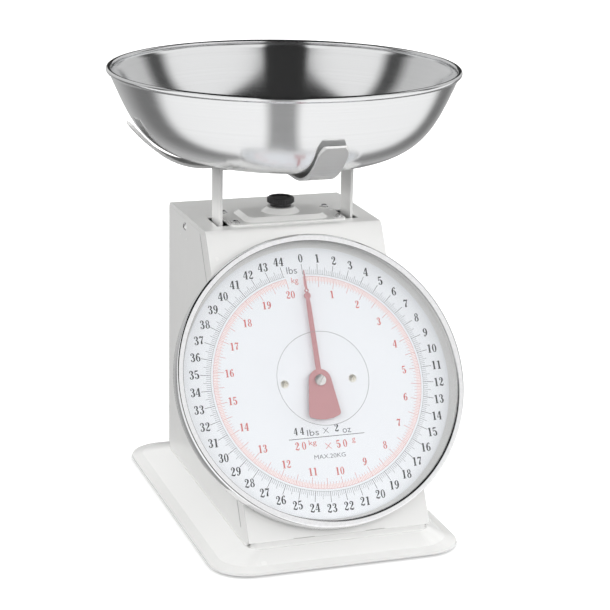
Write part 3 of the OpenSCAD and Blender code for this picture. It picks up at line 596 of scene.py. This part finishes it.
def bezier(p, t):
    return tuple((1 - t) ** 3 * p[0][c] + 3 * (1 - t) ** 2 * t * p[1][c]
                 + 3 * (1 - t) * t * t * p[2][c] + t ** 3 * p[3][c] for c in (0, 1))


def bowl_profile():
    """Outer skin from the rim down to the floor, then the inner skin back up, with a rolled rim."""
    rim_r = (BOWL_HIGH.x - BOWL_LOW.x) / 2 / MM
    floor = BOWL_LOW.z / MM
    depth = (BOWL_HIGH.z - BOWL_LOW.z) / MM - 1.9
    r, d = rim_r - 1.7, depth - 1
    p = [(r, floor + d), (r * 0.8613, floor + d * 0.4065), (r * 0.8221, floor), (r * 0.26, floor)]
    outer = [bezier(p, k / 60) for k in range(61)]
    inner = []
    for k in range(60, -1, -1):
        t = k / 60
        a, b = bezier(p, max(t - 0.01, 0)), bezier(p, min(t + 0.01, 1))
        length = math.hypot(b[0] - a[0], b[1] - a[1])
        nx, ny = (b[1] - a[1]) / length, -(b[0] - a[0]) / length
        x, y = bezier(p, t)
        inner.append((x + nx * 1.2, y + ny * 1.2))
    bead = [(rim_r - 1.9 + 1.88 * math.cos(a), floor + depth + 1.88 * math.sin(a))
            for a in (math.radians(-60 + 300 * (1 - k / 22) - 30) for k in range(23))]
    return [(0, floor)] + outer[::-1] + bead[::-1] + inner[::-1][1:] + [(0, floor + 1.2)]


def make_bowl():
    place = Matrix.Translation((BOWL_X, BOWL_Y, 0))
    bowl = lathe("bowl_spun", bowl_profile(), place, 256, closed=False)
    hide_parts("weighing_bowl")
    return finish_piece(bowl, "bowl", "bowl_steel")


def face_radius(node):
    low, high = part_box(node)
    return (high.x - low.x) / 2 / MM


def make_bezel():
    r = face_radius("bezel_ring")
    turned = [(r - 4.9, 12.75)]
    turned += [(r - 4.75 + 0.3 * math.cos(a), 13.1 + 0.35 * math.sin(a))
               for a in (math.radians(200 - 110 * k / 6) for k in range(7))]
    turned += [(r - 3.8, 13.62), (r - 2.6, 13.75)]
    turned += [(r - 1.9 + 1.9 * math.cos(a), 11.9 + 1.85 * math.sin(a))
               for a in (math.radians(90 - 90 * k / 14) for k in range(15))]
    turned += [(r, 8.0), (r, 3.2), (r - 0.25, 2.6), (r - 0.6, 2.3), (r - 0.85, 2.6), (r - 0.9, 4.0),
               (r - 0.9, 10.9), (r - 1.3, 12.2), (r - 1.9, 12.7), (r - 4.9, 12.7)]
    # A seal lip at the lens edge; its dark colour is also painted shade of the gap between lens and bezel.
    lip = [(r - 5.0 + 0.28 * math.cos(a), 12.95 + 0.2 * math.sin(a))
           for a in (2 * math.pi * k / 8 for k in range(8))]
    finish_piece(lathe("bezel_lip_and_shadow_line", lip, FACE, 192), "housing", "seal_dark")
    ring = lathe("bezel_rolled", turned, FACE, 256)
    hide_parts("bezel_ring")
    return finish_piece(ring, "housing", "bezel_chrome")


def make_lens():
    r = face_radius("lens")
    profile = [(0, 12.95), (33.6, 12.85), (34.1, 12.95), (34.4, 13.1), (34.9, 13.1), (35.2, 12.9),
               (60, 12.8), (r - 12, 12.7), (r - 9.6, 12.75), (r - 8.6, 13.0), (r - 7.6, 13.3),
               (r - 6.6, 13.35), (r - 5.2, 13.0), (r - 4.2, 12.68), (r, 12.65), (r, 11.65),
               (r - 5, 11.65), (r - 7, 12.1), (r - 9, 11.9), (r - 12, 11.7), (0, 11.75)]
    lens = lathe("lens_moulded", profile, FACE, 192, closed=False)
    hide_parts("lens")
    finish_piece(lens, "housing", "clear_lens")
    # The ring on the lens step is grey and part opaque: a painted shade line where the step bends the light.
    step = [(34.62 + 0.2 * math.cos(a), 13.12 + 0.16 * math.sin(a))
            for a in (2 * math.pi * k / 8 for k in range(8))]
    ring = lathe("lens_gate_ring", step, FACE, 160)
    finish_piece(ring, "housing", "lens_step_painted_line")


# ---------------------------------------------------------------- lap edges of the folded front

LAP_WIDTH = 15.0
LAP_LENGTH = (-97.0, 121.0)
LAP_BEAD = 0.3


def make_laps():
    """The folded front laps round each side by LAP_WIDTH; its edge is a fine half-round line, coloured mid grey as
    painted shade of the lap line.
    """
    for side, node, name in ((-1, "left_side_panel", "lap_edge_left"),
                             (1, "right_side_panel", "lap_edge_right")):
        low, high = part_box(node)
        x = (low.x if side < 0 else high.x) / MM
        stations, arc = 24, 7
        verts, faces = [], []
        for i in range(stations + 1):
            along = LAP_LENGTH[0] + (LAP_LENGTH[1] - LAP_LENGTH[0]) * i / stations
            for k in range(arc):
                a = math.pi * k / (arc - 1)
                verts.append(on_face(x + side * LAP_BEAD * math.sin(a), along,
                                     -LAP_WIDTH + LAP_BEAD * math.cos(a)))
        for i in range(stations):
            for k in range(arc):
                j = (k + 1) % arc
                faces.append((i * arc + k, i * arc + j, (i + 1) * arc + j, (i + 1) * arc + k))
        faces.append(tuple(range(arc)))
        faces.append(tuple(stations * arc + k for k in range(arc)))
        bead = mesh_object(name, verts, faces)
        fix_normals(bead)
        # The bead's grey is painted shade of the lap line, not a colour of the enamel.
        finish_piece(bead, "housing", "lap_painted_shade")


# ---------------------------------------------------------------- screw heads

HEAD_STEPS = 144
HEAD_RINGS = 26
RIM_DROP = 0.25
SLOT_SLOPE = 0.12
KNURL_DEPTH = 0.2
FACE_SCREW_X = 26.0


def head_height(x, y, r, head):
    """Height over the dome's top at (x, y): the dome falls away and the slots are cut in."""
    fall = head["dome"] * (x * x + y * y) / (r * r)
    cut = 0.0
    for angle in head["slots"]:
        across = abs(x * math.sin(angle) - y * math.cos(angle))
        along = abs(x * math.cos(angle) + y * math.sin(angle))
        if along < head["reach"] * r:
            share = (head["half"] + SLOT_SLOPE - across) / SLOT_SLOPE
            cut = max(cut, min(max(share, 0.0), 1.0))
    return -fall - cut * head["deep"]


def add_head(mesh, place, head):
    """One screw in millimetres of place: head from head[low] to head[high], shank below it."""
    verts, faces = mesh
    start = len(verts)
    r, teeth = head["r"], head["teeth"]
    verts.append(place @ Vector((0, 0, (head["high"] + head_height(0, 0, r, head)) * MM)))
    rows = []

    def row(radius_of, z_of):
        rows.append(len(verts))
        for k in range(HEAD_STEPS):
            a = 2 * math.pi * k / HEAD_STEPS
            rho = radius_of(k)
            x, y = rho * math.cos(a), rho * math.sin(a)
            verts.append(place @ Vector((x * MM, y * MM, z_of(x, y) * MM)))

    def edge(k):
        notch = teeth and (k * teeth * 2 // HEAD_STEPS) % 2
        return r - (KNURL_DEPTH if notch else 0.0)

    for i in range(1, HEAD_RINGS + 1):
        share = i / HEAD_RINGS
        row(lambda k: min(edge(k), r * share),
            lambda x, y: head["high"] + head_height(x, y, r, head)
            - (RIM_DROP if share == 1.0 else 0.0))
    row(edge, lambda x, y: head["low"])
    row(lambda k: head["shank"], lambda x, y: head["low"])
    row(lambda k: head["shank"], lambda x, y: head["low"] - head["length"])
    for k in range(HEAD_STEPS):
        faces.append((start, rows[0] + k, rows[0] + (k + 1) % HEAD_STEPS))
    for upper, lower in zip(rows, rows[1:]):
        for k in range(HEAD_STEPS):
            j = (k + 1) % HEAD_STEPS
            faces.append((upper + k, lower + k, lower + j, upper + j))
    faces.append(tuple(rows[-1] + k for k in range(HEAD_STEPS))[::-1])


def head_piece(name, node, body, slot, places, head):
    """One piece with a screw at each place, shown instead of the CAD node."""
    mesh = ([], [])
    for place in places:
        add_head(mesh, place, head)
    piece = mesh_object(name, *mesh)
    fix_normals(piece)
    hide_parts(node)
    return finish_piece(piece, body, slot)


def make_screws():
    """Slotted needle screw with a knurled edge, and the two cross-slot dial screws."""
    cross = {"slots": (0.3, 0.3 + math.pi / 2), "teeth": 0}
    head_piece("pointer_screw_cut", "pointer_screw", "needle", "head_steel", [FACE],
               {"r": 4.2, "low": 6.0, "high": 7.7, "dome": 0.5, "slots": (0.9,), "half": 0.5,
                "deep": 0.8, "reach": 1.2, "teeth": 36, "shank": 2.0, "length": 0.0})
    sides = [FACE @ Matrix.Translation((s * FACE_SCREW_X * MM, 0, 0)) for s in (-1, 1)]
    head_piece("dial_screws_cut", "dial_screws", "housing", "head_brass", sides,
               {"r": 2.9, "low": 2.0, "high": 3.4, "dome": 0.9, "half": 0.26, "deep": 0.8,
                "reach": 0.62, "shank": 1.6, "length": 12.5, **cross})


# ---------------------------------------------------------------- stage, light and camera

def make_stage():
    size = 40.0
    floor = mesh_object("floor", [(-size, -size, 0), (size, -size, 0), (size, size, 0),
                                  (-size, size, 0)], [(0, 1, 2, 3)])
    mat, tree, bsdf = new_material("studio_floor")
    bsdf.inputs["Base Color"].default_value = (0.96, 0.96, 0.96, 1)
    bsdf.inputs["Roughness"].default_value = 0.9
    bsdf.inputs["Specular IOR Level"].default_value = 0.0
    bsdf.inputs["Emission Color"].default_value = (1, 1, 1, 1)
    bsdf.inputs["Emission Strength"].default_value = 0.2
    floor.data.materials.append(mat)
    floor.visible_glossy = False
    floor.visible_diffuse = False


def area_light(name, place, target, size, power):
    """A square soft box; mirrors do not show it."""
    data = bpy.data.lights.new(name, "AREA")
    data.energy = power
    data.shape = "SQUARE"
    data.size = size
    light = bpy.data.objects.new(name, data)
    light.location = place
    light.rotation_euler = (Vector(target) - Vector(place)).to_track_quat("-Z", "Y").to_euler()
    light.visible_glossy = False
    bpy.context.scene.collection.objects.link(light)


def map_range(tree, value, start, end):
    """Clamped map of value from start=(from, to) to end=(from, to)."""
    node = tree.nodes.new("ShaderNodeMapRange")
    for socket, number in zip(("From Min", "From Max", "To Min", "To Max"), (*start, *end)):
        node.inputs[socket].default_value = number
    tree.links.new(value, node.inputs["Value"])
    return node


def studio_bands(tree, toward, stops, shift, gap_edges, gap_floor):
    """Soft boxes left and right of the camera, with a dark gap between them."""
    ahead, side, rise = toward
    across = math_node(tree, "ABSOLUTE", side)
    turn = math_node(tree, "ARCTAN2", across, ahead)
    place = math_node(tree, "SUBTRACT", math_node(tree, "DIVIDE", turn, math.pi),
                      math_node(tree, "MULTIPLY", side, shift))
    bands = ramp(tree, place, stops)
    slit = map_range(tree, across, (0.0, 1.0), (gap_floor, 1.0))
    for socket, wide, narrow in (("From Min", gap_edges[0], gap_edges[2]),
                                 ("From Max", gap_edges[1], gap_edges[3])):
        edge = map_range(tree, rise, (0.61, 0.85), (narrow, wide))
        tree.links.new(edge.outputs["Result"], slit.inputs[socket])
    mix = tree.nodes.new("ShaderNodeVectorMath")
    mix.operation = "SCALE"
    tree.links.new(bands, mix.inputs[0])
    tree.links.new(slit.outputs["Result"], mix.inputs["Scale"])
    return mix.outputs["Vector"]


def glow(v):
    """A grey of the studio, given as the radiance it shows."""
    return (v / WORLD_STRENGTH,) * 3


def blend_colour(tree, factor, a, b):
    mix = tree.nodes.new("ShaderNodeMix")
    mix.data_type = "RGBA"
    tree.links.new(factor, mix.inputs["Factor"])
    for index, colour in zip(MIX_COLOUR_IN, (a, b)):
        tree.links.new(colour, mix.inputs[index])
    return mix.outputs[MIX_COLOUR_OUT]


def make_world():
    world = bpy.data.worlds.new("studio")
    bpy.context.scene.world = world
    world.use_nodes = True
    tree = world.node_tree
    back = tree.nodes["Background"]
    apart = tree.nodes.new("ShaderNodeSeparateXYZ")
    tree.links.new(coords(tree, "Generated"), apart.inputs["Vector"])
    x, y, z = (apart.outputs[c] for c in "XYZ")
    c, s = math.cos(VIEW_YAW), math.sin(VIEW_YAW)
    side = math_node(tree, "SUBTRACT", math_node(tree, "MULTIPLY", x, c),
                     math_node(tree, "MULTIPLY", y, s))
    ahead = math_node(tree, "SUBTRACT", math_node(tree, "MULTIPLY", x, -s),
                      math_node(tree, "MULTIPLY", y, c))
    above = studio_bands(tree, (ahead, side, z),
                         [(0.0, glow(0.92)), (0.47, glow(0.90)), (0.52, glow(0.05)),
                          (0.57, glow(0.05)), (0.63, glow(0.56)), (1.0, glow(0.66))],
                         0.06, (0.58, 0.66, 0.21, 0.27), 0.02)
    below = studio_bands(tree, (ahead, side, z),
                         [(0.0, glow(1.05)), (0.66, glow(1.0)), (0.72, glow(0.17)),
                          (0.80, glow(0.20)), (0.92, glow(0.50)), (1.0, glow(0.52))],
                         0.12, (0.09, 0.17, 0.09, 0.17), 0.34)
    level = math_node(tree, "MULTIPLY_ADD", z, 6.0)
    level.node.inputs[2].default_value = 0.5
    level.node.use_clamp = True
    bands = blend_colour(tree, level, below, above)
    height = math_node(tree, "MULTIPLY_ADD", z, 0.5)
    height.node.inputs[2].default_value = 0.5
    rings = ramp(tree, height, [(0.0, glow(0.16)), (0.50, glow(0.16)), (0.535, glow(1.1)),
                                (0.60, glow(2.35)), (0.81, glow(2.35)),
                                (0.88, glow(0.45)), (1.0, glow(0.40))])
    lean = math_node(tree, "ADD", math_node(tree, "MULTIPLY", side, 0.10),
                     math_node(tree, "MULTIPLY", ahead, -0.12))
    swing = tree.nodes.new("ShaderNodeVectorMath")
    swing.operation = "SCALE"
    tree.links.new(rings, swing.inputs[0])
    tree.links.new(math_node(tree, "ADD", lean, 1.0), swing.inputs["Scale"])
    ambient = swing.outputs["Vector"]
    path = tree.nodes.new("ShaderNodeLightPath")
    first = math_node(tree, "LESS_THAN", path.outputs["Diffuse Depth"], 0.5)
    seen = math_node(tree, "MULTIPLY", path.outputs["Is Glossy Ray"], first)
    tree.links.new(blend_colour(tree, seen, ambient, bands), back.inputs["Color"])
    back.inputs["Strength"].default_value = WORLD_STRENGTH


def make_light():
    """The studio round the object, and one soft box to its front right."""
    make_world()
    area_light("key", (0.6, -1.5, 1.2), (0, 0, 0.15), 1.2, 0.6)


def make_camera():
    data = bpy.data.cameras.new("camera")
    camera = bpy.data.objects.new("camera", data)
    data.sensor_width = SENSOR_MM
    data.sensor_fit = "HORIZONTAL"
    data.lens = VIEW_LENS_MM
    data.clip_end = 100.0
    yaw, pitch, roll = VIEW_YAW, VIEW_PITCH, VIEW_ROLL
    ahead = Vector((math.sin(yaw) * math.cos(pitch), math.cos(yaw) * math.cos(pitch),
                    -math.sin(pitch)))
    right = Vector((math.cos(yaw), -math.sin(yaw), 0))
    up = right.cross(ahead)
    x = right * math.cos(roll) + up * math.sin(roll)
    y = up * math.cos(roll) - right * math.sin(roll)
    m = Matrix((x, y, -ahead)).transposed().to_4x4()
    m.translation = Vector(VIEW_PLACE)
    camera.matrix_world = m
    bpy.context.scene.collection.objects.link(camera)
    bpy.context.scene.camera = camera


make_camera()
make_stage()
make_light()
dress_nodes()
print_pounds()
print_kilos()
print_words()
make_bowl()
make_bezel()
make_lens()
make_screws()
make_laps()

scene = bpy.context.scene
scene.view_settings.view_transform = "Standard"
